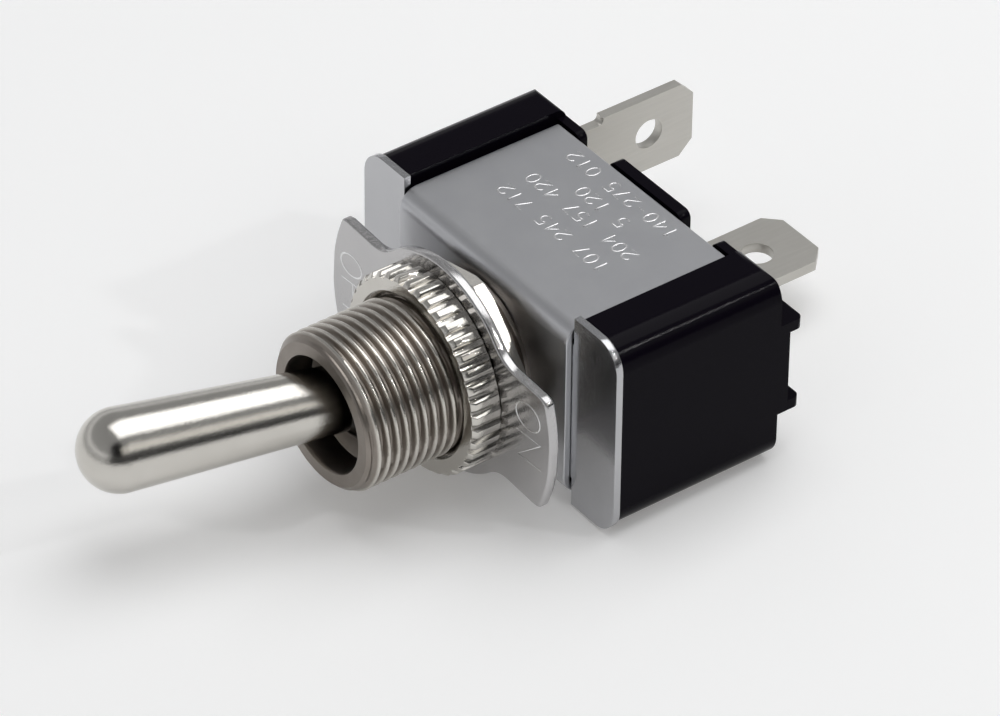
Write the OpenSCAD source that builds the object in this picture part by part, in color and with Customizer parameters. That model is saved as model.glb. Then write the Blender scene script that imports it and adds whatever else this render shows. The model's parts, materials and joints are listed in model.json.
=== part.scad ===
// Panel toggle switch, single pole, two push-on tabs, bat lever, lying on its side.
// X = long axis (the ON end is +X), Y = depth (lever towards -Y, tabs towards +Y), Z = thickness.
// The origin is on the bushing's axis, halfway along the thread left free ahead of the knurled
// nut. Depths below are counted from the frame's front face, and shifted there at the end.

/* [Base] */
// overall length of the moulded base
base_length = 29.1; // [27:0.1:32]
// thickness of the two end lobes of the base
base_thick = 15.9; // [15.6:0.1:17.5]
// depth of the rear face behind the frame's front
base_rear = 14.87; // [14.6:0.01:16.5]
// length taken by each end lobe
lobe_length = 4.4; // [4:0.05:4.6]
// rounding of the lobes' outer corners, seen from the front
lobe_round = 2.1; // [1:0.1:2.6]
// rounding of the lobes' rear edges, seen from the end
lobe_rear_round = 0.8; // [0.3:0.1:1.2]
// half length of the raised centre block at the rear
centre_block_half = 4.05; // [3.8:0.05:5]
// height of a terminal nest's platform above the rear face
nest_platform = 0.85; // [0.5:0.05:1.5]
// height of a terminal nest's two side ribs above the rear face
nest_rib = 1.95; // [1.5:0.05:2.6]

/* [Frame] */
// outside thickness of the U-shaped frame
frame_thick = 14.6; // [14.2:0.1:14.8]
// gap between each end of the frame and the base's lobe
frame_gap = 0.46; // [0.2:0.02:0.8]
// depth of the frame's two side walls
frame_depth = 13.85; // [12.5:0.05:14.1]
// sheet thickness of the frame and of the mounting plate
sheet = 0.55; // [0.4:0.05:0.65]
// outside bend radius of the frame
frame_bend = 1.5; // [1.2:0.1:2.4]
// overhang of the mounting plate's ears past each end of the base
ear_end_overhang = 0.1; // [0:0.05:1]
// overhang of the ears past each side of the base
ear_side_overhang = 0.15; // [0:0.05:0.7]
// corner rounding of the ears
ear_round = 2.1; // [1:0.1:3]

/* [Bushing] */
// thread size over the crests
thread_d = 11.9; // [11.6:0.05:12.4]
// length of the bushing ahead of the frame
bushing_length = 13.6; // [13:0.1:15]
// bore at the bushing's mouth
mouth_d = 8.6; // [8.2:0.1:9]
// chamfer at the bushing's mouth
mouth_chamfer = 0.6; // [0.3:0.05:0.8]
// radial running clearance of the two threaded nuts
nut_fit = 0.05; // [0.02:0.01:0.1]

/* [Lever] */
// diameter of the rounded lever tip
tip_d = 6.05; // [5:0.05:6.6]
// distance from the pivot to the centre of the tip
tip_reach = 19.2; // [17:0.1:24]
// diameter of the lever where its straight taper would meet the pivot
root_d = 4.5; // [4:0.05:4.9]
// tilt of the lever to each side of the axis
throw_angle = 14.9; // [12:0.1:15.2]
// depth of the pivot behind the mouth of the bushing
pivot_depth = 5.3; // [5:0.05:5.8]
// diameter of the pivot ball
ball_d = 8; // [7.6:0.05:8.1]
// diameter of the lever's pivot pin
pin_d = 1.5; // [1:0.05:1.8]
// radial running clearance between moving metal parts
run_fit = 0.05; // [0.02:0.01:0.08]

/* [Panel hardware] */
// outside diameter of the knurled nut
knurl_d = 15.1; // [14.4:0.1:16.2]
// thickness of the knurled nut
knurl_t = 2.5; // [2:0.1:3]
// number of knurl teeth
knurl_teeth = 40; // [30:1:44]
// depth of the grooves between the teeth
knurl_groove = 0.38; // [0.25:0.01:0.5]
// gap from the mouth of the bushing to the knurled nut
knurl_setback = 7.52; // [6.5:0.02:7.6]
// thickness of the indicator plate
plate_t = 0.8; // [0.6:0.05:0.9]
// diameter over the indicator plate's tabs
plate_d = 25.6; // [24:0.1:28]
// diameter of the indicator plate's round middle
plate_hub_d = 16.8; // [16:0.1:18]
// width of the indicator plate's tabs
plate_tab_w = 9.7; // [8:0.1:11]
// radius of the hollow run-outs between tabs and middle
plate_run_out = 3; // [1.5:0.1:4]
// turn of the indicator plate about the bushing
plate_turn = 3.3; // [0:0.1:8]
// width of the hexagon nut across its flats
hex_af = 13.6; // [13.2:0.1:14.4]
// thickness of the hexagon nut
hex_t = 1.5; // [1.2:0.1:1.9]
// turn of the hexagon nut about the bushing
hex_turn = 12.6; // [0:0.1:30]

/* [Terminals] */
// width of the push-on blades
blade_w = 6.35; // [5.8:0.05:6.6]
// thickness of the terminal strip
blade_t = 0.8; // [0.6:0.05:0.85]
// depth of the blade tips behind the frame's front
blade_tip = 28.5; // [26.5:0.1:30]
// length of the full-width part of a blade
blade_length = 8.2; // [7.5:0.1:8.6]
// width of the neck between blade and base
neck_w = 5.3; // [4.8:0.05:5.4]
// diameter of the hole in each blade
blade_hole_d = 2.4; // [1.6:0.1:2.8]
// distance from the blade tip to its hole
blade_hole_inset = 4; // [3.6:0.1:4.6]
// corner cut at the blade tips
blade_chamfer = 1.15; // [0.6:0.05:1.5]
// fillet where the neck widens to the blade
neck_fillet = 0.35; // [0.2:0.05:0.6]

/* [Contacts] */
// tilt of the contact rocker to each side
rocker_angle = 6.5; // [5:0.1:6.6]
// gap from each end of the rocker to the wall of its cavity
rocker_end_gap = 0.85; // [0.4:0.05:1.2]
// distance from the rocker's end to the middle of its contact
contact_inset = 1; // [0.9:0.05:1.4]
// diameter of the silver contacts
contact_d = 2.4; // [2:0.1:2.8]
// thickness of the rocker strip
rocker_t = 0.8; // [0.6:0.05:0.9]

/* [Hidden] */
$fn = 64;
eps = 0.01;
slip = 0.05;                                   // play between parts that only lie together

half_len = base_length / 2;
half_thick = base_thick / 2;
lobe_in = half_len - lobe_length;              // inner face of the lobes
frame_length = 2 * (lobe_in - frame_gap);
bend_in = frame_bend - sheet;                  // inside bend radius of the frame
plate_y = sheet + slip / 5;                    // front of the mounting plate
plate_length = base_length + 2 * ear_end_overhang;
plate_width = base_thick + 2 * ear_side_overhang;
strip_half = frame_thick / 2 - frame_bend;     // half width of the plate inside the frame
base_front = plate_y + sheet + slip / 5;       // front of the base
core_half = frame_thick / 2 - sheet - slip;    // half thickness of the base inside the frame
core_chamfer = bend_in - 0.4;                  // front edges of the core, clear of the frame's bends
core_rear = base_rear - 0.72;                  // rear face between the raised blocks
centre_rear = base_rear + 0.18;                // rear face of the centre block
end_block_half = lobe_in - 2.55;               // inner end of the raised end blocks
block_half = frame_thick / 2;                  // half thickness of the raised blocks
block_round = 0.6;                             // corner rounding of the raised blocks
nest_half = 3;                                 // half width of a nest between its ribs
nest_rib_t = 0.85;                             // thickness of those ribs
nest_rib_round = 0.5;                          // rounding of their rear corners
nest_in = lobe_in + 0.2;                       // inner end of a nest

cavity_x = lobe_in - 0.9;                      // half length of the mechanism cavity
cavity_z = 4.6;                                // half width of the mechanism cavity
floor_y = base_rear - 2.27;                    // floor of the cavity

pivot_y = -(bushing_length - pivot_depth);     // lever pivot
bush_r = thread_d / 2;
spigot_r = 5.4;                                // reduced end of the bushing in the two sheets
stake_r = 5.8;                                 // spread end of the spigot
stake_y = base_front + 0.45;
seat_r = ball_d / 2 + run_fit;                 // spherical seat of the lever's ball
throat_r = seat_r - 0.55;                      // narrowest place ahead of the ball
flare_r = spigot_r - 0.8;                      // bore at the bushing's rear end
pin_half = spigot_r - 0.65;                    // half length of the pivot pin
pin_play = 0.1;                                // end play of the pivot pin

knurl_front = -(bushing_length - knurl_setback);
knurl_rear = knurl_front + knurl_t;
knurl_chamfer = 0.3;
disc_front = knurl_rear + slip / 2;
disc_rear = disc_front + plate_t;
hex_front = disc_rear + slip / 2;
hex_corner_cut = 0.3;                          // how far the hexagon's corners are turned down
free_end = knurl_front - 0.2;                  // end of the free thread, just ahead of the nut
nut_seat_r = bush_r - 0.2;                     // bushing inside the nuts, at the thread's mid depth

rocker_y = floor_y - 3.2;                      // rocker pivot
rocker_top = 0.3;                              // rocker strip ahead of its pivot
rocker_w = 3.2;
rocker_arm = cavity_x - rocker_end_gap;
contact_reach = rocker_arm - contact_inset;
rpin_r = 0.6;
rocker_hub_r = rpin_r + 0.65;
eye_r = rpin_r + 0.7;                          // eye of the cradle's cheeks
cradle_in = rocker_w / 2 + 0.2;                // inner face of the cradle's cheeks
cheek_t = 0.6;

tail_r = 1.7;                                  // inner arm of the lever
tail_end = rocker_y - pivot_y - 4.7;           // reach of that arm behind the pivot
well_r = tail_r - 0.7;                         // well for spring and plunger
well_bottom = 2.8;
plunger_r = well_r - run_fit;
plunger_tip = rocker_y - pivot_y - 1.3;
plunger_start = plunger_tip - 6.9;
wire = 0.42;                                   // size of the spring wire
coils = 6;
foot_t = blade_t;
foot_y = floor_y - foot_t;                     // front face of the terminals' feet
cradle_t = 0.7;
cradle_y = foot_y - cradle_t;
stud_r = 0.8;                                  // shank of the cradle rivet
rivet_r = stud_r + 0.4;                        // spread ends of the cradle rivet
rivet_head = 0.5;

line_x = -(half_len - 1.35);                   // middle of the end terminal's strip
load_z = -3.4;                                 // middle of the centre terminal's strip
button_t = 0.75;                               // height of the moving contact
button_play = 0.04;                            // gap left between the closed contacts
stop_x1 = rocker_arm + 0.2;                    // rest for the open end of the rocker
stop_x0 = stop_x1 - 2;
stop_y = rocker_y + rocker_arm * sin(rocker_angle) - rocker_top * cos(rocker_angle) + button_play;

// insulating sheet, and the slot that the lever's arm swings in
board_t = 0.3;
board_y = stake_y + slip;
board_slot_x = (board_y + board_t - pivot_y) * tan(throw_angle) + tail_r / cos(throw_angle) + 0.2;
board_slot_z = tail_r + 0.7;

// middle of the free thread, which is the part's origin
origin_y = (free_end - bushing_length + mouth_chamfer) / 2;

// Frame-shaped outline in the X-Z plane, extruded from y0 to y1.
module along_y(y0, y1) {
  translate([0, y1, 0]) rotate([90, 0, 0]) linear_extrude(height = y1 - y0) children();
}

// Box given by its two corners.
module block(x0, x1, y0, y1, z0, z1) {
  translate([x0, y0, z0]) cube([x1 - x0, y1 - y0, z1 - z0]);
}

// Cylinder along Y from y0 to y1, with radius r0 at y0 and r1 at y1.
module rod_y(y0, y1, r0, r1) {
  translate([0, y0, 0]) rotate([-90, 0, 0]) cylinder(h = y1 - y0, r1 = r0, r2 = r1);
}

// Rectangle with rounded corners made of bars and discs.
module rounded(w, h, r) {
  square([w - 2 * r, h], center = true);
  square([w, h - 2 * r], center = true);
  for (sx = [-1, 1], sz = [-1, 1]) translate([sx * (w / 2 - r), sz * (h / 2 - r)]) circle(r = r);
}

// Hollow run-out between a disc of radius r and a strip of half width w, first quadrant.
module run_out(r, w, fillet) {
  centre = [sqrt(pow(r + fillet, 2) - pow(w + fillet, 2)), w + fillet];
  difference() {
    polygon([[0, 0], [centre.x, 0], centre]);
    translate(centre) circle(r = fillet);
  }
}

// Puts the part's origin on the free thread.
module placed() {
  translate([0, -origin_y, 0]) children();
}

// Turns its children about the pivot by the lever's rest angle.
module at_lever() {
  placed() translate([0, pivot_y, 0]) rotate([0, 0, -throw_angle]) children();
}

// Turns its children about the rocker's pivot by its rest angle.
module at_rocker() {
  placed() translate([0, rocker_y, 0]) rotate([0, 0, rocker_angle]) children();
}

// Outline in the Y-Z plane, extruded from x0 to x1.
module along_x(x0, x1) {
  translate([x0, 0, 0]) rotate([90, 0, 90]) linear_extrude(height = x1 - x0) children();
}

// One end lobe: square inside, outer corners and rear edges rounded.
module lobe() {
  intersection() {
    along_y(base_front, base_rear) intersection() {
      rounded(base_length, base_thick, lobe_round);
      translate([lobe_in, -half_thick]) square([lobe_length, base_thick]);
    }
    along_x(lobe_in - 1, half_len + 1) translate([base_rear / 2, 0])
      rounded(base_rear, base_thick, lobe_rear_round);
  }
}

// Middle of the base, with its front edges cut back for the frame's bends.
module core() {
  h = core_half;
  c = core_chamfer;
  along_x(-lobe_in - eps, lobe_in + eps)
    polygon([[base_front, c - h], [base_front + c, -h], [core_rear, -h],
      [core_rear, h], [base_front + c, h], [base_front, h - c]]);
}

// Raised nest for an end terminal: platform and two ribs.
module end_nest() {
  rib_depth = nest_rib + 2;
  block(nest_in, half_len, base_rear - eps, base_rear + nest_platform, -nest_half, nest_half);
  for (z = [-nest_half - nest_rib_t, nest_half])
    translate([(nest_in + half_len) / 2, base_rear + nest_rib - rib_depth / 2, z])
      linear_extrude(height = nest_rib_t)
      rounded(half_len - nest_in, rib_depth, nest_rib_round);
}

// Raised block at the rear, as thick as the frame, starting just behind the frame's edge.
module rear_block(x0, x1, rear) {
  translate([(x0 + x1) / 2, 0, 0]) along_y(core_rear - eps, rear)
    rounded(x1 - x0, 2 * block_half, block_round);
}

module base_housing() {
  color([0.07, 0.06, 0.08]) placed() difference() {
    union() {
      core();
      lobe();
      mirror([1, 0, 0]) lobe();
      rear_block(-centre_block_half, centre_block_half, centre_rear);
      rear_block(end_block_half, lobe_in + 1, base_rear);
      mirror([1, 0, 0]) rear_block(end_block_half, lobe_in + 1, base_rear);
      end_nest();
      mirror([1, 0, 0]) end_nest();
    }
    // mechanism cavity, reaching into the lobe that holds the end terminal
    difference() {
      block(-cavity_x, cavity_x, base_front - eps, floor_y, -cavity_z, cavity_z);
      block(stop_x0, stop_x1, stop_y, floor_y + eps, -rocker_w / 2, rocker_w / 2);
    }
    block(line_x - blade_t / 2 - slip, -cavity_x + eps, base_front - eps, floor_y,
      -nest_half, nest_half);
    // room for the spread end of the bushing
    rod_y(base_front - eps, stake_y + 0.4, stake_r + 0.3, stake_r + 0.3);
    // slots for the two terminals
    block(line_x - blade_t / 2 - slip, line_x + blade_t / 2 + slip, floor_y - eps,
      base_rear + nest_rib, -neck_w / 2 - slip, neck_w / 2 + slip);
    block(-neck_w / 2 - slip, neck_w / 2 + slip, floor_y - eps, centre_rear + eps,
      load_z - blade_t / 2 - slip, load_z + blade_t / 2 + slip);
    // recess for the spread end of the cradle rivet
    rod_y(floor_y - eps, floor_y + rivet_head + 0.1, rivet_r + 0.1, rivet_r + 0.1);
  }
}

module mounting_plate() {
  color([0.62, 0.61, 0.6]) placed() along_y(plate_y, plate_y + sheet) difference() {
    union() {
      square([frame_length + 0.4, 2 * strip_half], center = true);
      intersection() {
        rounded(plate_length, plate_width, ear_round);
        difference() {
          square([plate_length, plate_width], center = true);
          square([frame_length + 0.3, plate_width + 1], center = true);
        }
      }
    }
    circle(r = spigot_r + slip / 2);
  }
}

// Half of the frame's section in the Y-Z plane: front sheet, bend, side wall.
module frame_half_section() {
  h = frame_thick / 2;
  square([sheet, h - frame_bend]);
  translate([frame_bend, h - sheet]) square([frame_depth - frame_bend, sheet]);
  translate([frame_bend, h - frame_bend]) intersection() {
    difference() {
      circle(r = frame_bend);
      circle(r = bend_in);
    }
    translate([-frame_bend, 0]) square(frame_bend);
  }
}

module frame_bracket() {
  color([0.68, 0.67, 0.66]) placed() difference() {
    rotate([90, 0, 90]) linear_extrude(height = frame_length, center = true) {
      frame_half_section();
      mirror([0, 1]) frame_half_section();
    }
    rod_y(-eps, sheet + eps, spigot_r + slip / 2, spigot_r + slip / 2);
  }
}

// Half section of the bushing: radius across, depth up.
module bushing_section() {
  difference() {
    polygon([[0, -bushing_length], [bush_r - mouth_chamfer, -bushing_length],
      [bush_r, -bushing_length + mouth_chamfer], [bush_r, free_end],
      [nut_seat_r, free_end], [nut_seat_r, 0], [spigot_r, 0],
      [spigot_r, base_front], [stake_r, base_front], [stake_r - 0.25, stake_y], [0, stake_y]]);
    // bore at the mouth, cone that leaves room for the tilted lever, throat, rear flare
    polygon([[-1, -bushing_length - 1], [mouth_d / 2, -bushing_length - 1],
      [mouth_d / 2, pivot_y - 3], [throat_r, pivot_y - 2.2],
      [throat_r, pivot_y + 0.2], [seat_r + 0.05, pivot_y + 0.2], [flare_r, stake_y + 1],
      [-1, stake_y + 1]]);
    // spherical seat of the lever's ball
    translate([0, pivot_y]) circle(r = seat_r);
  }
}

module bushing() {
  color([0.6, 0.57, 0.52]) placed() difference() {
    rotate([-90, 0, 0]) rotate_extrude() bushing_section();
    // two slots in which the pivot pin lies
    block(-pin_d / 2 - run_fit, pin_d / 2 + run_fit, pivot_y - pin_d / 2 - run_fit,
      stake_y + eps, -pin_half - pin_play, pin_half + pin_play);
  }
}

module toggle_lever() {
  color([0.78, 0.77, 0.74]) at_lever() difference() {
    union() {
      // handle: round tip and straight taper, turned about the lever's own axis
      translate([0, -tip_reach, 0]) sphere(r = tip_d / 2);
      rod_y(-tip_reach, 0, tip_d / 2, root_d / 2);
      sphere(r = ball_d / 2);
      rod_y(0, tail_end, tail_r, tail_r);
    }
    rod_y(well_bottom, tail_end + eps, well_r, well_r);
    translate([0, 0, -ball_d]) cylinder(h = 2 * ball_d, r = pin_d / 2 + run_fit);
  }
}

module pivot_pin() {
  color([0.5, 0.5, 0.5]) placed() translate([0, pivot_y, -pin_half])
    cylinder(h = 2 * pin_half, r = pin_d / 2);
}

// Straight knurl across the axis: a disc with a flat-bottomed groove between each two teeth.
module knurl_outline() {
  r = knurl_d / 2;
  pitch = 2 * PI * r / knurl_teeth;
  difference() {
    circle(r = r);
    for (i = [0 : knurl_teeth - 1]) rotate(i * 360 / knurl_teeth)
      polygon([[r - knurl_groove, -0.17 * pitch], [r + 0.2, -0.32 * pitch],
        [r + 0.2, 0.32 * pitch], [r - knurl_groove, 0.17 * pitch]]);
  }
}

module knurled_nut() {
  r = knurl_d / 2;
  bore = nut_seat_r + nut_fit;
  sink = 0.5;
  color([0.8, 0.79, 0.76]) placed() difference() {
    intersection() {
      along_y(knurl_front, knurl_rear) knurl_outline();
      union() {
        rod_y(knurl_front, knurl_front + knurl_chamfer, r - knurl_chamfer, r + 0.01);
        rod_y(knurl_front + knurl_chamfer, knurl_rear - knurl_chamfer, r + 0.01, r + 0.01);
        rod_y(knurl_rear - knurl_chamfer, knurl_rear, r + 0.01, r - knurl_groove - 0.05);
      }
    }
    rod_y(knurl_front - eps, knurl_rear + eps, bore, bore);
    rod_y(knurl_front - eps, knurl_front + sink, bore + sink, bore);
  }
}

module on_off_plate() {
  hub_r = plate_hub_d / 2;
  tab_half = plate_tab_w / 2;
  color([0.72, 0.71, 0.69]) placed() along_y(disc_front, disc_rear) rotate(-plate_turn) difference() {
    union() {
      circle(r = hub_r);
      intersection() {
        circle(r = plate_d / 2);
        rounded(plate_d - 0.1, plate_tab_w, 1.6);
      }
      for (mx = [0, 1], mz = [0, 1]) mirror([mx, 0]) mirror([0, mz])
        run_out(hub_r, tab_half, plate_run_out);
    }
    circle(r = bush_r + slip);
  }
}

module hex_nut() {
  bore = nut_seat_r + nut_fit;
  corner = hex_af / sqrt(3);
  cut = hex_corner_cut;
  color([0.74, 0.72, 0.66]) placed() difference() {
    intersection() {
      translate([0, hex_front, 0]) rotate([-90, 0, 0]) rotate(-hex_turn)
        cylinder(h = hex_t, r = corner, $fn = 6);
      union() {
        rod_y(hex_front, hex_front + cut, corner - 2 * cut, corner + 0.01);
        rod_y(hex_front + cut, hex_front + hex_t - cut, corner + 0.01, corner + 0.01);
        rod_y(hex_front + hex_t - cut, hex_front + hex_t, corner + 0.01, corner - 2 * cut);
      }
    }
    rod_y(hex_front - eps, hex_front + hex_t + eps, bore, bore);
  }
}

// Coil spring: half a ring turned as it rises.
module lever_spring() {
  r_out = well_r - 0.08;
  length = plunger_start - well_bottom - 0.1;
  color([0.55, 0.56, 0.58]) at_lever() translate([0, well_bottom + 0.05, 0]) rotate([-90, 0, 0])
    linear_extrude(height = length, twist = -360 * coils, slices = 16 * coils, $fn = 12)
    intersection() {
      difference() {
        circle(r = r_out, $fn = 12);
        circle(r = r_out - wire, $fn = 12);
      }
      translate([-2, 0]) square([4, 2]);
    }
}

module plunger() {
  color([0.85, 0.82, 0.72]) at_lever() {
    rod_y(plunger_start, plunger_tip - plunger_r, plunger_r, plunger_r);
    translate([0, plunger_tip - plunger_r, 0]) sphere(r = plunger_r);
  }
}

module contact_rocker() {
  top = -rocker_top - rocker_t;
  color([0.76, 0.5, 0.3]) at_rocker() difference() {
    union() {
      block(-rocker_arm, rocker_arm, top, top + rocker_t, -rocker_w / 2, rocker_w / 2);
      translate([0, 0, -rocker_w / 2]) cylinder(h = rocker_w, r = rocker_hub_r);
    }
    translate([0, 0, -rocker_w]) cylinder(h = 2 * rocker_w, r = rpin_r + run_fit);
  }
}

module moving_contact() {
  color([0.86, 0.86, 0.86]) at_rocker() translate([-contact_reach, 0, 0])
    rod_y(-rocker_top + 0.005, -rocker_top + button_t, contact_d / 2, contact_d / 2 - 0.2);
}

module rocker_pin() {
  color([0.5, 0.5, 0.52]) placed() translate([0, rocker_y, -cradle_in - cheek_t])
    cylinder(h = 2 * (cradle_in + cheek_t), r = rpin_r);
}

module rocker_cradle() {
  color([0.8, 0.66, 0.36]) placed() difference() {
    union() {
      block(-eye_r - 1, eye_r + 1, cradle_y, cradle_y + cradle_t,
        -cradle_in - cheek_t, cradle_in + cheek_t);
      for (z = [-cradle_in - cheek_t, cradle_in]) translate([0, 0, z]) {
        block(-eye_r, eye_r, rocker_y, cradle_y + eps, 0, cheek_t);
        translate([0, rocker_y, 0]) cylinder(h = cheek_t, r = eye_r);
      }
    }
    translate([0, rocker_y, -2 * cradle_in]) cylinder(h = 4 * cradle_in, r = rpin_r + 0.01);
    rod_y(cradle_y - eps, cradle_y + cradle_t + eps, stud_r + slip / 2, stud_r + slip / 2);
  }
}

module cradle_rivet() {
  color([0.8, 0.68, 0.4]) placed() {
    rod_y(cradle_y - 0.3, cradle_y, rivet_r - 0.1, rivet_r);
    rod_y(cradle_y - eps, floor_y + 0.05, stud_r, stud_r);
    rod_y(floor_y, floor_y + rivet_head, rivet_r, rivet_r - 0.2);
  }
}

// Face of the fixed contact, just clear of the tilted moving contact.
function closed_face() = rocker_y + (button_t - rocker_top) * cos(rocker_angle)
  + contact_reach * sin(rocker_angle) + (contact_d / 2 - 0.2) * sin(rocker_angle) + button_play;

module fixed_contact() {
  color([0.86, 0.86, 0.86]) placed() translate([-contact_reach, 0, 0]) {
    rod_y(closed_face(), foot_y, contact_d / 2 + 0.1, contact_d / 2 + 0.2);
    rod_y(foot_y - eps, floor_y - 0.05, 0.7, 0.7);
  }
}

// Push-on blade with neck, drawn flat in the X-Y plane from y0 to the tip.
module blade_outline(y0) {
  shoulder = blade_tip - blade_length;
  difference() {
    union() {
      translate([-neck_w / 2, y0]) square([neck_w, shoulder - y0 + eps]);
      translate([-blade_w / 2, shoulder])
        square([blade_w, blade_length - blade_chamfer]);
      polygon([[-blade_w / 2, blade_tip - blade_chamfer - eps],
        [-blade_w / 2 + blade_chamfer, blade_tip], [blade_w / 2 - blade_chamfer, blade_tip],
        [blade_w / 2, blade_tip - blade_chamfer - eps]]);
      for (m = [0, 1]) mirror([m, 0]) difference() {
        translate([neck_w / 2 - eps, shoulder - neck_fillet])
          square([neck_fillet + eps, neck_fillet + eps]);
        translate([neck_w / 2 + neck_fillet, shoulder - neck_fillet]) circle(r = neck_fillet);
      }
    }
    translate([0, blade_tip - blade_hole_inset]) circle(d = blade_hole_d);
  }
}

module terminal_line() {
  color([0.74, 0.72, 0.67]) placed() difference() {
    union() {
      translate([line_x, 0, 0]) rotate([0, 90, 0]) linear_extrude(height = blade_t, center = true)
        blade_outline(foot_y);
      block(line_x - blade_t / 2, -contact_reach + 1.8, foot_y, floor_y - 0.01,
        -neck_w / 2, neck_w / 2);
    }
    translate([-contact_reach, 0, 0])
      rod_y(foot_y - eps, floor_y + eps, 0.7 + slip / 2, 0.7 + slip / 2);
  }
}

module terminal_load() {
  color([0.74, 0.72, 0.67]) placed() difference() {
    union() {
      translate([0, 0, load_z]) linear_extrude(height = blade_t, center = true)
        blade_outline(foot_y);
      block(-neck_w / 2, neck_w / 2, foot_y, floor_y - 0.01, load_z - blade_t / 2, 2.6);
    }
    rod_y(foot_y - eps, floor_y + eps, stud_r + slip / 2, stud_r + slip / 2);
  }
}

module insulating_sheet() {
  color([0.55, 0.42, 0.3]) placed() difference() {
    block(-cavity_x + 0.1, cavity_x - 0.1, board_y, board_y + board_t,
      -cavity_z + 0.1, cavity_z - 0.1);
    block(-board_slot_x, board_slot_x, board_y - 1, board_y + 1, -board_slot_z, board_slot_z);
  }
}

base_housing();
mounting_plate();
frame_bracket();
bushing();
toggle_lever();
pivot_pin();
knurled_nut();
on_off_plate();
hex_nut();
lever_spring();
plunger();
contact_rocker();
moving_contact();
rocker_pin();
rocker_cradle();
cradle_rivet();
fixed_contact();
terminal_line();
terminal_load();
insulating_sheet();
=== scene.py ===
"""Panel toggle switch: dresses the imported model, lights it and sets the camera."""
import json
import math

import bmesh
import bpy
from mathutils import Matrix, Vector


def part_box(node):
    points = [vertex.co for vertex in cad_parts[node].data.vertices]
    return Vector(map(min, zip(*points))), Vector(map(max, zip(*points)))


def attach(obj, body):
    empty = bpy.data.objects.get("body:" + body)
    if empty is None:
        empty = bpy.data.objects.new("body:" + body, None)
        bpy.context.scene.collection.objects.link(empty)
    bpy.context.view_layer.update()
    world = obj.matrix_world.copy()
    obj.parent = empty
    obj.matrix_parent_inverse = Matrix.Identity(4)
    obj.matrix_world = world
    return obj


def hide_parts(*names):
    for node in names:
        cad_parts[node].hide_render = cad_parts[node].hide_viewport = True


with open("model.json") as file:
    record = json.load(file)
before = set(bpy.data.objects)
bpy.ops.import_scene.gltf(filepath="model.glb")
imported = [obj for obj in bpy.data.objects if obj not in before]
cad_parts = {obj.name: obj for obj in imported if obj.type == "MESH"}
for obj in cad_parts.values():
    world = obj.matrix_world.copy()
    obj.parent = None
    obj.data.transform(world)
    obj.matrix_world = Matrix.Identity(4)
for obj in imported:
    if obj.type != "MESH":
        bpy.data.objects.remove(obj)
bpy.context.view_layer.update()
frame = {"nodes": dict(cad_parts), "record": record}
node = frame["nodes"]
MM = 0.001


# ---------------------------------------------------------------- shader maths

class Value:
    """A socket that can be used in Python arithmetic. Each operation adds one Math node."""

    def __init__(self, paint, socket):
        self.paint = paint
        self.socket = socket

    def _math(self, operation, a, b=0.0):
        return self.paint.add("ShaderNodeMath", {"operation": operation}, {0: a, 1: b})

    def __add__(self, other):
        return self._math("ADD", self, other)

    def __radd__(self, other):
        return self._math("ADD", other, self)

    def __sub__(self, other):
        return self._math("SUBTRACT", self, other)

    def __rsub__(self, other):
        return self._math("SUBTRACT", other, self)

    def __mul__(self, other):
        return self._math("MULTIPLY", self, other)

    def __rmul__(self, other):
        return self._math("MULTIPLY", other, self)

    def power(self, other):
        return self._math("POWER", self, other)

    def at_most(self, other):
        return self._math("MINIMUM", self, other)


class Paint:
    """The nodes of one finish. A material's shader is a Principled one, the world's a Background."""

    def __init__(self, tree, shader):
        self.nodes = tree.nodes
        self.links = tree.links
        self.shader = tree.nodes[shader]

    def add(self, kind, settings=None, inputs=None, out=0):
        """Adds a node: its settings first, then a value or a link for each named socket."""
        made = self.nodes.new(kind)
        for key, value in (settings or {}).items():
            if key == "stops":
                self._ramp(made.color_ramp, value)
            else:
                setattr(made, key, value)
        for key, value in (inputs or {}).items():
            self._plug(made.inputs[key], value)
        return Value(self, made.outputs[out])

    def _ramp(self, ramp, stops):
        while len(ramp.elements) < len(stops):
            ramp.elements.new(0.5)
        for element, (place, grey) in zip(ramp.elements, stops):
            element.position = place
            element.color = (grey, grey, grey, 1.0)

    def _plug(self, socket, value):
        if isinstance(value, Value):
            self.links.new(value.socket, socket)
        else:
            socket.default_value = value

    def feed(self, socket, value):
        self._plug(self.shader.inputs[socket], value)

    def place(self, scale=(1.0, 1.0, 1.0)):
        """Position in the part's own frame in millimetres, stretched by scale."""
        coords = self.add("ShaderNodeTexCoord", out="Object")
        factor = tuple(1000.0 * s for s in scale)
        return self.add("ShaderNodeMapping", None, {"Vector": coords, "Scale": factor})

    def noise(self, where, scale, detail=3.0, rough=0.55):
        return self.add("ShaderNodeTexNoise", None,
                        {"Vector": where, "Scale": scale, "Detail": detail, "Roughness": rough})

    def ramp(self, value, stops):
        return self.add("ShaderNodeValToRGB", {"stops": stops}, {"Fac": value})

    def mix(self, amount, first, second):
        """Blend of two colours."""
        return self.add("ShaderNodeMix", {"data_type": "RGBA"},
                        {"Factor": amount, 6: first, 7: second}, out=2)

    def parts(self, vector):
        """The three numbers of a vector."""
        split = self.add("ShaderNodeSeparateXYZ", None, {0: vector})
        return split, Value(self, split.socket.node.outputs[1]), Value(self, split.socket.node.outputs[2])

    def bump(self, height, strength, distance, under=None):
        inputs = {"Height": height, "Strength": strength, "Distance": distance}
        if under is not None:
            inputs["Normal"] = under
        return self.add("ShaderNodeBump", None, inputs)


def new_finish(name, **constants):
    """Starts a material, with the shader's constants set."""
    material = bpy.data.materials.new(name)
    material.use_nodes = True
    p = Paint(material.node_tree, "Principled BSDF")
    p.material = material
    for socket, value in constants.items():
        p.feed(socket.replace("_", " "), value)
    return p


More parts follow.
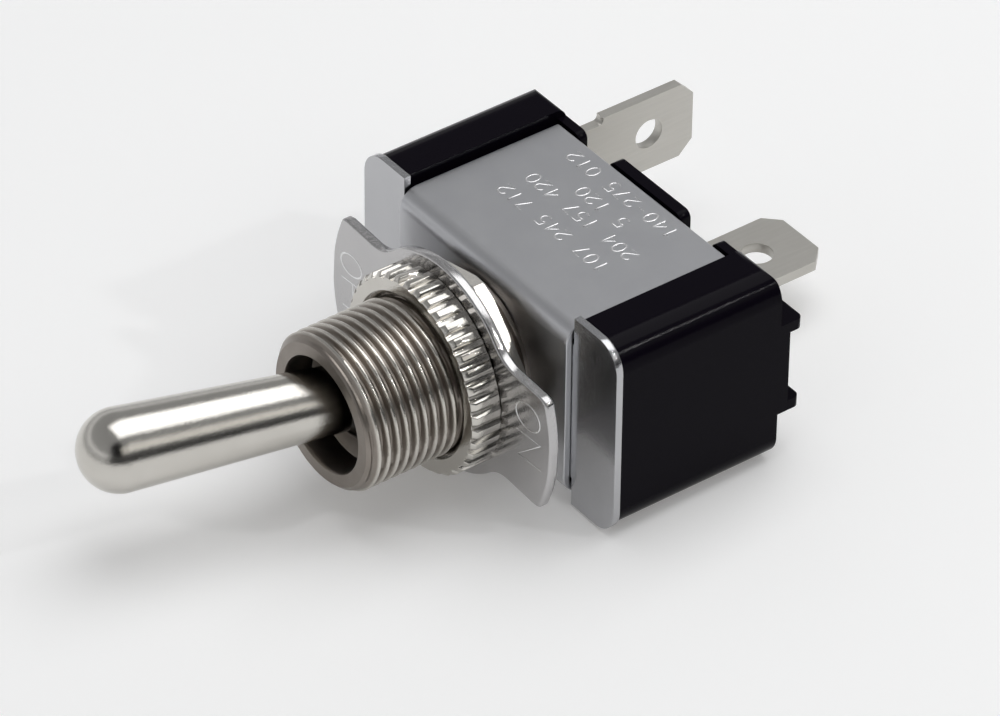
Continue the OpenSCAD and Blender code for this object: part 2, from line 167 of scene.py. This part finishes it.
def rgb(r, g, b):
    return (r, g, b, 1.0)


# ---------------------------------------------------------------- finishes

def bright_nickel(name, shade_centre=None):
    """Polished plate whose fine pitting breaks up the edges of its reflections. Near the given centre,
    a depth on the axis in millimetres, it is painted near-black: painted shade where the lever's ball
    sits deep in the bushing."""
    p = new_finish(name, Metallic=1.0)
    here = p.place()
    grain = p.noise(here, 7.0, 5.0, 0.65)
    cloud = p.noise(here, 0.35, 2.0)
    streak = p.noise(p.place((1.0, 0.12, 1.0)), 5.0, 3.0)
    plate = p.mix(cloud, rgb(0.56, 0.54, 0.5), rgb(0.64, 0.62, 0.58))
    if shade_centre is not None:
        x, y, z = p.parts(here)
        y = y - shade_centre
        reach = (x * x + y * y + z * z).power(0.5)
        # painted shade: near-black close to the centre, standing in for the shade deep in the bushing
        unshaded = p.ramp(reach * 0.1, [(0.45, 0.0), (0.62, 1.0)])
        plate = p.mix(unshaded, rgb(0.02, 0.018, 0.015), plate)
    p.feed("Base Color", plate)
    p.feed("Roughness", 0.07 + 0.12 * p.ramp(grain, [(0.35, 0.0), (0.7, 1.0)]))
    fine = p.bump(grain, 0.55, 0.02 * MM)
    p.feed("Normal", p.bump(streak, 0.2, 0.02 * MM, fine))
    return p.material


def satin_bushing_nickel():
    """Brownish plate over a cut thread, with painted shade in the grooves and a painted highlight on the
    crests, which are also smoother.
    """
    p = new_finish("satin_bushing_nickel", Metallic=1.0)
    here = p.place()
    x, y, z = p.parts(here)
    reach = (x * x + z * z).power(0.5)
    crest_highlight = p.ramp(reach * 0.1, [(0.575, 0.0), (0.593, 1.0)])
    cloud = p.noise(here, 0.5, 3.0)
    grain = p.noise(here, 7.0, 4.0)
    # painted shade in the grooves and painted highlight on the crests
    groove = p.mix(cloud, rgb(0.2, 0.175, 0.155), rgb(0.32, 0.29, 0.26))
    p.feed("Base Color", p.mix(crest_highlight, groove, rgb(0.6, 0.575, 0.53)))
    p.feed("Roughness", 0.36 - 0.14 * crest_highlight)
    p.feed("Normal", p.bump(grain, 0.35, 0.02 * MM))
    return p.material


def painted_shade_bore():
    """Inside of the bushing, painted near-black and mottled at random: painted shade deep in the bore."""
    p = new_finish("painted_shade_bore", Specular_IOR_Level=0.3)
    here = p.place()
    mottle = p.noise(here, 1.6, 4.0)
    # painted shade: near-black colour in place of the shade inside the bore
    p.feed("Base Color", p.mix(mottle, rgb(0.004, 0.0035, 0.003), rgb(0.016, 0.014, 0.012)))
    p.feed("Roughness", 0.35 + 0.3 * mottle)
    p.feed("Normal", p.bump(mottle, 0.3, 0.05 * MM))
    return p.material


def pressed_sheet(name, low, high, rough, swirl):
    """Plated sheet with a tumbled, faintly scratched surface."""
    p = new_finish(name, Metallic=1.0)
    here = p.place()
    cloud = p.noise(here, 0.3, 3.0)
    grain = p.noise(here, 8.0, 5.0, 0.7)
    scratch = p.add("ShaderNodeTexWave", {"wave_type": "RINGS", "rings_direction": "SPHERICAL"},
                    {"Vector": here, "Scale": 2.4, "Distortion": 14.0, "Detail": 3.0,
                     "Detail Scale": 1.4}, out=1)
    lines = p.ramp(scratch, [(0.93, 0.0), (0.99, 1.0)])
    p.feed("Base Color", p.mix(cloud, low, high))
    p.feed("Roughness", rough + 0.1 * grain + swirl * 0.12 * lines)
    fine = p.bump(grain, 0.3, 0.02 * MM)
    p.feed("Normal", p.bump(lines, swirl, 0.006 * MM, fine))
    return p.material


def tinned_strip():
    """Matt tin over rolled brass strip, with rolling streaks along its length."""
    p = new_finish("tinned_strip", Metallic=1.0)
    here = p.place()
    grain = p.noise(here, 14.0, 5.0, 0.7)
    rolled = p.noise(p.place((1.0, 0.08, 1.0)), 4.0, 3.0)
    p.feed("Base Color", p.mix(rolled, rgb(0.5, 0.485, 0.45), rgb(0.58, 0.565, 0.53)))
    p.feed("Roughness", 0.33 + 0.12 * grain)
    p.feed("Normal", p.bump(grain, 0.25, 0.02 * MM))
    return p.material


def black_moulding():
    """Glossy black moulding compound with the faint waviness of a mould face."""
    p = new_finish("black_moulding", Specular_IOR_Level=0.045, IOR=1.5)
    here = p.place()
    speck = p.noise(here, 6.0, 5.0, 0.7)
    wave = p.noise(here, 0.8, 2.0)
    p.feed("Base Color", p.mix(speck, rgb(0.0032, 0.0022, 0.005), rgb(0.0046, 0.0034, 0.0068)))
    p.feed("Roughness", 0.07 + 0.12 * p.ramp(speck, [(0.3, 0.0), (0.75, 1.0)]))
    fine = p.bump(speck, 0.25, 0.02 * MM)
    p.feed("Normal", p.bump(wave, 0.12, 0.06 * MM, fine))
    return p.material


def plain_metal(name, low, high, rough):
    """Bare metal of the inner parts."""
    p = new_finish(name, Metallic=1.0)
    here = p.place()
    cloud = p.noise(here, 1.5, 3.0)
    grain = p.noise(here, 12.0, 4.0)
    p.feed("Base Color", p.mix(cloud, low, high))
    p.feed("Roughness", rough + 0.1 * grain)
    p.feed("Normal", p.bump(grain, 0.2, 0.02 * MM))
    return p.material


def fibre_board():
    """Brown insulating board with short fibres."""
    p = new_finish("fibre_board")
    here = p.place((1.0, 1.0, 0.3))
    fibre = p.noise(here, 6.0, 6.0, 0.7)
    p.feed("Base Color", p.mix(fibre, rgb(0.3, 0.2, 0.12), rgb(0.5, 0.38, 0.25)))
    p.feed("Roughness", 0.75 + 0.15 * fibre)
    p.feed("Normal", p.bump(fibre, 0.3, 0.03 * MM))
    return p.material


def natural_plastic():
    """Off-white plunger plastic."""
    p = new_finish("natural_plastic")
    here = p.place()
    cloud = p.noise(here, 1.2, 3.0)
    p.feed("Base Color", p.mix(cloud, rgb(0.7, 0.65, 0.53), rgb(0.8, 0.76, 0.66)))
    p.feed("Roughness", 0.45 + 0.1 * cloud)
    p.feed("Normal", p.bump(cloud, 0.1, 0.05 * MM))
    return p.material


PIVOT = next(j for j in frame["record"]["behaviour"]["joints"] if j["name"] == "lever_throw")
NICKEL = bright_nickel("bright_nickel")
LEVER_NICKEL = bright_nickel("lever_nickel", PIVOT["pos_m"][1] / MM)   # painted shade on the ball, which sits deep in the bushing
BUSHING = satin_bushing_nickel()
BORE_SHADE = painted_shade_bore()
FRAME = pressed_sheet("frame_nickel", rgb(0.54, 0.545, 0.57), rgb(0.62, 0.625, 0.64), 0.26, 0.1)
EARS = pressed_sheet("ear_nickel", rgb(0.44, 0.445, 0.46), rgb(0.5, 0.5, 0.515), 0.06, 0.3)
PLATE = pressed_sheet("plate_nickel", rgb(0.46, 0.455, 0.46), rgb(0.54, 0.53, 0.53), 0.05, 0.5)
TIN = tinned_strip()
BLACK = black_moulding()
STEEL = plain_metal("drawn_steel", rgb(0.4, 0.4, 0.41), rgb(0.5, 0.5, 0.51), 0.3)
COPPER = plain_metal("rolled_copper", rgb(0.72, 0.45, 0.27), rgb(0.8, 0.55, 0.35), 0.3)
SILVER = plain_metal("contact_silver", rgb(0.75, 0.75, 0.74), rgb(0.86, 0.86, 0.85), 0.3)
STAMPED = plain_metal("stamped_nickel", rgb(0.74, 0.74, 0.75), rgb(0.86, 0.86, 0.86), 0.22)
BOARD = fibre_board()
PLUNGER = natural_plastic()


# ---------------------------------------------------------------- mesh helpers

def new_piece(name, mesh, material, body):
    piece = bpy.data.objects.new(name, mesh)
    bpy.context.scene.collection.objects.link(piece)
    mesh.materials.clear()
    mesh.materials.append(material)
    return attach(piece, body)


def from_bmesh(name, bm, material, body, smooth=35.0):
    mesh = bpy.data.meshes.new(name)
    bm.to_mesh(mesh)
    bm.free()
    mesh.shade_smooth()
    mesh.set_sharp_from_angle(angle=math.radians(smooth))
    piece = new_piece(name, mesh, material, body)
    weighted = piece.modifiers.new("even_faces", "WEIGHTED_NORMAL")
    weighted.keep_sharp = True
    weighted.weight = 80
    return piece


def eased(node_name, body, material, width, rounds=2, corner=28.0):
    """Stands for a CAD node with its sharp edges eased, as tumbling or moulding leaves them."""
    bm = bmesh.new()
    bm.from_mesh(node[node_name].data)
    bmesh.ops.remove_doubles(bm, verts=bm.verts, dist=0.0005 * MM)
    bmesh.ops.dissolve_limit(bm, angle_limit=math.radians(0.5), verts=bm.verts, edges=bm.edges)
    bm.normal_update()
    sharp = [e for e in bm.edges if len(e.link_faces) == 2
             and e.calc_face_angle(0.0) > math.radians(corner)]
    bmesh.ops.bevel(bm, geom=sharp, offset=width * MM, segments=rounds, profile=0.5,
                    affect="EDGES", clamp_overlap=True)
    piece = from_bmesh(node_name + "_eased", bm, material, body)
    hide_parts(node_name)
    return piece


def finish_node(node_name, material):
    mesh = node[node_name].data
    mesh.materials.clear()
    mesh.materials.append(material)


# ---------------------------------------------------------------- camera and light

MOUTH_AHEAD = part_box("bushing")[0].y
FRONT_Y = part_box("frame_bracket")[0].y      # the frame's front face

camera_data = bpy.data.cameras.new("camera")
camera = bpy.data.objects.new("camera", camera_data)
bpy.context.scene.collection.objects.link(camera)
AZIMUTH = math.radians(53.154)
DOWN = math.radians(37.986)
ROLL = math.radians(0.6)
forward = Vector((-math.sin(AZIMUTH) * math.cos(DOWN), math.cos(AZIMUTH) * math.cos(DOWN),
                  -math.sin(DOWN)))
level = Vector((math.cos(AZIMUTH), math.sin(AZIMUTH), 0.0))
above = level.cross(forward)
right = math.cos(ROLL) * level + math.sin(ROLL) * above
up = math.cos(ROLL) * above - math.sin(ROLL) * level
turn = Matrix((right, up, -forward)).transposed().to_4x4()
seat = Vector((288.247 * MM, FRONT_Y - 214.329 * MM, 279.249 * MM))
camera.matrix_world = Matrix.Translation(seat) @ turn
camera_data.sensor_width = 36.0
camera_data.lens = 6560.6 / 1000.0 * 36.0
camera_data.clip_start = 0.01
bpy.context.scene.camera = camera


def soft_box(name, direction, distance, long_way, size, level, colour=(1.0, 1.0, 1.0)):
    """Flat lamp seen from the switch in the given direction. Its level is how bright its face is,
    where 1 is white, and its longer side lies along long_way."""
    back = Vector(direction).normalized()
    across = (Vector(long_way) - back * back.dot(Vector(long_way))).normalized()
    lamp = bpy.data.lights.new(name, "AREA")
    lamp.shape = "RECTANGLE"
    lamp.size = size[0]
    lamp.size_y = size[1]
    lamp.energy = level * math.pi * size[0] * size[1]
    lamp.color = colour
    holder = bpy.data.objects.new(name, lamp)
    bpy.context.scene.collection.objects.link(holder)
    facing = Matrix((across, back.cross(across), back)).transposed().to_4x4()
    holder.matrix_world = Matrix.Translation(back * distance) @ facing
    return holder


ALONG_DEPTH = (0.0, 1.0, 0.0)
soft_box("overhead_window", (-0.02, 0.28, 0.96), 0.6, ALONG_DEPTH, (0.66, 0.5), 1.9)
soft_box("low_window", (0.8, 0.14, 0.59), 0.6, ALONG_DEPTH, (0.66, 0.19), 0.55, (1.0, 0.97, 0.9))
soft_box("spot", (0.6, 0.47, 0.63), 0.6, ALONG_DEPTH, (0.024, 0.024), 150.0)


def studio_walls():
    """Plain grey room: paler just above the table, dark low down on the right and at the front."""
    world = bpy.data.worlds.new("studio")
    bpy.context.scene.world = world
    world.use_nodes = True
    p = Paint(world.node_tree, "Background")
    way = p.add("ShaderNodeTexCoord")
    x, y, z = p.parts(way)
    level = p.ramp(z, [(0.0, 0.5), (0.2, 0.5), (0.27, 0.85), (0.32, 0.85), (0.38, 0.37), (1.0, 0.3)])
    to_right = p.ramp(x, [(0.35, 0.0), (0.6, 1.0)])
    low_down = p.ramp(z, [(0.36, 1.0), (0.44, 0.0)])
    front = p.ramp(x * 0.631 - y * 0.473 + z * 0.615, [(0.92, 0.0), (0.97, 1.0)])
    lit = level * (1.0 - 0.88 * to_right * low_down) * (1.0 - 0.95 * front)
    p.feed("Color", p.mix(lit, rgb(0.0, 0.0, 0.0), rgb(0.985, 0.99, 1.0)))
    p.feed("Strength", 1.0)


studio_walls()


BASE_DEPTH = 13.75 * MM                      # from the base's front to its rear face


def table_top():
    """Plain pale floor. The switch lies on the rim of its indicator plate and its rear edge."""
    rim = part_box("on_off_plate")
    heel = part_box("base_housing")
    front = Vector((0.0, (rim[0].y + rim[1].y) / 2, rim[0].z))
    rear = Vector((0.0, heel[0].y + BASE_DEPTH, heel[0].z))
    slope = math.atan2(rear.z - front.z, rear.y - front.y)
    bm = bmesh.new()
    bmesh.ops.create_grid(bm, x_segments=24, y_segments=24, size=1.5)
    mesh = bpy.data.meshes.new("floor")
    bm.to_mesh(mesh)
    bm.free()
    floor = bpy.data.objects.new("floor", mesh)
    bpy.context.scene.collection.objects.link(floor)
    floor.location = front
    floor.rotation_euler = (slope, 0.0, 0.0)
    p = new_finish("pale_card", Specular_IOR_Level=0.1, Emission_Strength=1.0)
    here = p.place()
    speck = p.noise(here, 1.5, 4.0)
    p.feed("Base Color", p.mix(speck, rgb(0.9, 0.905, 0.91), rgb(0.92, 0.925, 0.93)))
    p.feed("Roughness", 0.7 + 0.1 * speck)
    p.feed("Normal", p.bump(speck, 0.05, 0.05 * MM))
    ray = p.add("ShaderNodeLightPath")
    outputs = ray.socket.node.outputs
    seen = ray + Value(p, outputs["Is Glossy Ray"]) + Value(p, outputs["Is Transmission Ray"])
    p.feed("Emission Color", p.mix(seen.at_most(1.0), rgb(0.0, 0.0, 0.0), rgb(0.16, 0.157, 0.154)))
    mesh.materials.append(p.material)
    return floor


table_top()
bpy.context.scene.view_settings.view_transform = "Standard"


# ---------------------------------------------------------------- bushing

PITCH = 25.4 / 32.0                          # 32 turns an inch
CREST = 5.95
THREAD_DEPTH = 0.43
NUT_SEAT = 5.75                              # radius left inside the nuts
AROUND = 180


def groove(turns):
    """Depth of the thread below its crest, from 0 to 1, at a place along the pitch."""
    from_root = abs(turns % 1.0 - 0.5) * 2.0
    sunk = max(0.0, min(1.0, (0.9 - from_root) / 0.72))
    return 0.5 - 0.5 * math.cos(math.pi * sunk)


def threaded_bushing():
    """The bushing with its real helical thread; the bore and the ball's seat follow the CAD."""
    length = (FRONT_Y - MOUTH_AHEAD) / MM
    nut_at = (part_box("knurled_nut")[0].y - MOUTH_AHEAD) / MM
    stake = (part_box("bushing")[1].y - MOUTH_AHEAD) / MM
    chamfer = 0.6
    pivot = 5.3
    seat = 4.05
    throat = 3.5
    bore = 4.3
    steps = int(length / PITCH * 10)
    rings = [(0.0, CREST - chamfer, False)]  # each ring: depth behind the mouth, radius, threaded
    rings += [(length * i / steps, CREST, True) for i in range(steps + 1)]
    rings += [(length, 5.4, False), (length + 1.12, 5.4, False), (length + 1.12, 5.8, False),
              (stake, 5.55, False)]
    outside = len(rings)
    rings += [(stake, 4.59, False), (pivot + 0.2, seat + 0.05, False)]
    start = math.asin(throat / seat)
    for i in range(13):
        a = start + (math.pi / 2 + 0.049 - start) * (1 - i / 12)
        rings.append((pivot - seat * math.cos(a), seat * math.sin(a), False))
    rings += [(pivot - 2.2, throat, False), (pivot - 3.0, bore, False), (0.2, bore, False),
              (0.0, bore + 0.12, False)]
    bm = bmesh.new()
    loops = []
    for depth, radius, threaded in rings:
        loop = []
        for k in range(AROUND):
            angle = 2 * math.pi * k / AROUND
            r = radius
            if threaded:
                r = CREST - THREAD_DEPTH * groove(depth / PITCH + k / AROUND)
                r = min(r, CREST - chamfer + depth)
                if depth > nut_at - 0.2:
                    r = min(r, NUT_SEAT)
            loop.append(bm.verts.new((r * math.cos(angle) * MM, MOUTH_AHEAD + depth * MM,
                                      r * math.sin(angle) * MM)))
        loops.append(loop)
    for row, (a, b) in enumerate(zip(loops, loops[1:] + loops[:1])):
        inside = outside <= row < len(loops) - 2
        for k in range(AROUND):
            n = (k + 1) % AROUND
            face = bm.faces.new((a[k], a[n], b[n], b[k]))
            # the inner faces take the bore's painted shade
            face.material_index = 1 if inside else 0
    bmesh.ops.remove_doubles(bm, verts=bm.verts, dist=0.002 * MM)
    bmesh.ops.recalc_face_normals(bm, faces=bm.faces)
    piece = from_bmesh("bushing_threaded", bm, BUSHING, "switch", 40.0)
    # second slot: the bore's painted-shade material
    piece.data.materials.append(BORE_SHADE)
    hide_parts("bushing")
    return piece


threaded_bushing()


# ---------------------------------------------------------------- the other pieces

eased("frame_bracket", "switch", FRAME, 0.1)
eased("mounting_plate", "switch", EARS, 0.14)
eased("on_off_plate", "switch", PLATE, 0.24, 3)
eased("base_housing", "switch", BLACK, 0.16)
eased("knurled_nut", "knurled_nut", NICKEL, 0.05, 1)
eased("hex_nut", "hex_nut", NICKEL, 0.12)
eased("terminal_line", "switch", TIN, 0.08)
eased("terminal_load", "switch", TIN, 0.08)
finish_node("toggle_lever", LEVER_NICKEL)
finish_node("pivot_pin", STEEL)
finish_node("lever_spring", STEEL)
finish_node("plunger", PLUNGER)
finish_node("contact_rocker", COPPER)
finish_node("moving_contact", SILVER)
finish_node("rocker_pin", STEEL)
finish_node("rocker_cradle", COPPER)
finish_node("cradle_rivet", COPPER)
finish_node("fixed_contact", SILVER)
finish_node("insulating_sheet", BOARD)


# ---------------------------------------------------------------- stamped characters

def arc(cx, cy, rx, ry, start, end, steps=9):
    """Points on an ellipse from one angle to another, in degrees."""
    return [(cx + rx * math.cos(math.radians(start + (end - start) * i / steps)),
             cy + ry * math.sin(math.radians(start + (end - start) * i / steps)))
            for i in range(steps + 1)]


# Strokes of each character in a cell 0.7 wide and 1 high.
STROKES = {
    "0": [arc(0.35, 0.5, 0.33, 0.5, 90, 450, 20)],
    "1": [[(0.15, 0.8), (0.4, 1.0), (0.4, 0.0)]],
    "2": [arc(0.35, 0.7, 0.32, 0.3, 170, -35) + [(0.02, 0.0), (0.68, 0.0)]],
    "4": [[(0.5, 0.0), (0.5, 1.0), (0.0, 0.32), (0.68, 0.32)]],
    "5": [[(0.62, 1.0), (0.1, 1.0), (0.05, 0.56)] + arc(0.32, 0.32, 0.33, 0.32, 130, -140)],
    "7": [[(0.0, 1.0), (0.66, 1.0), (0.22, 0.0)]],
    "-": [[(0.1, 0.45), (0.6, 0.45)]],
    "O": [arc(0.35, 0.5, 0.35, 0.5, 90, 450, 20)],
    "N": [[(0.0, 0.0), (0.0, 1.0), (0.7, 0.0), (0.7, 1.0)]],
    "F": [[(0.0, 0.0), (0.0, 1.0), (0.62, 1.0)], [(0.0, 0.52), (0.52, 0.52)]],
}


def bead(bm, points, place, width, rise):
    """Rounded ridge along a line of points; place turns flat (u, v, height) into a position."""
    rings = []
    for i, (u, v) in enumerate(points):
        u0, v0 = points[max(i - 1, 0)]
        u1, v1 = points[min(i + 1, len(points) - 1)]
        run = math.hypot(u1 - u0, v1 - v0)
        side = ((v0 - v1) / run, (u1 - u0) / run)
        ring = []
        for step in range(5):
            lean = math.cos(math.pi * step / 4)
            height = rise * math.sin(math.pi * step / 4) - 0.02
            ring.append(bm.verts.new(place(u + side[0] * lean * width / 2,
                                           v + side[1] * lean * width / 2, height)))
        rings.append(ring)
    for a, b in zip(rings, rings[1:]):
        for k in range(4):
            bm.faces.new((a[k], a[k + 1], b[k + 1], b[k]))
    bm.faces.new(rings[0])
    bm.faces.new(list(reversed(rings[-1])))


def stamp(name, words, place, height, pitch, body, width, rise, spread=1.0):
    """Row of characters pressed up from a face. Each starts pitch further along u."""
    bm = bmesh.new()
    for number, sign in enumerate(words):
        for line in STROKES.get(sign, []):
            points = [(number * pitch + px * height * spread, py * height) for px, py in line]
            bead(bm, points, place, width, rise)
    bmesh.ops.recalc_face_normals(bm, faces=bm.faces)
    return from_bmesh(name, bm, STAMPED, body, 60.0)


SIDE_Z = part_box("frame_bracket")[1].z


def on_side_wall(start_x, base_y):
    """Rows on the frame's side wall read towards -X, with their tops towards the front."""
    return lambda u, v, h: ((start_x - u) * MM, FRONT_Y + (base_y - v) * MM, SIDE_Z + h * MM)


ROWS = [("107 245 712", 5.8, 6.75), ("204 157 420", 5.9, 9.1),
        ("5 120", 2.6, 10.95), ("140-275 012", 5.55, 12.95)]
for number, (words, start_x, base_y) in enumerate(ROWS):
    stamp("stamped_row_%d" % (number + 1), words, on_side_wall(start_x, base_y),
          1.15, 1.1, "switch", 0.15, 0.05)


PLATE_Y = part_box("on_off_plate")[0].y
TURN = math.radians(3.3)                     # turn of the plate about the bushing


def on_plate(base_x, start_z):
    """Words on the plate's tabs read towards -Z, with their tops towards +X."""
    def place(u, v, h):
        x = base_x + v
        z = start_z - u
        return ((x * math.cos(TURN) - z * math.sin(TURN)) * MM, PLATE_Y - h * MM,
                (x * math.sin(TURN) + z * math.cos(TURN)) * MM)
    return place


stamp("on_mark", "ON", on_plate(8.9, 2.2), 2.75, 2.75, "switch", 0.17, 0.05, 1.1)
stamp("off_mark", "OFF", on_plate(-11.6, 3.4), 2.5, 2.4, "switch", 0.17, 0.05)
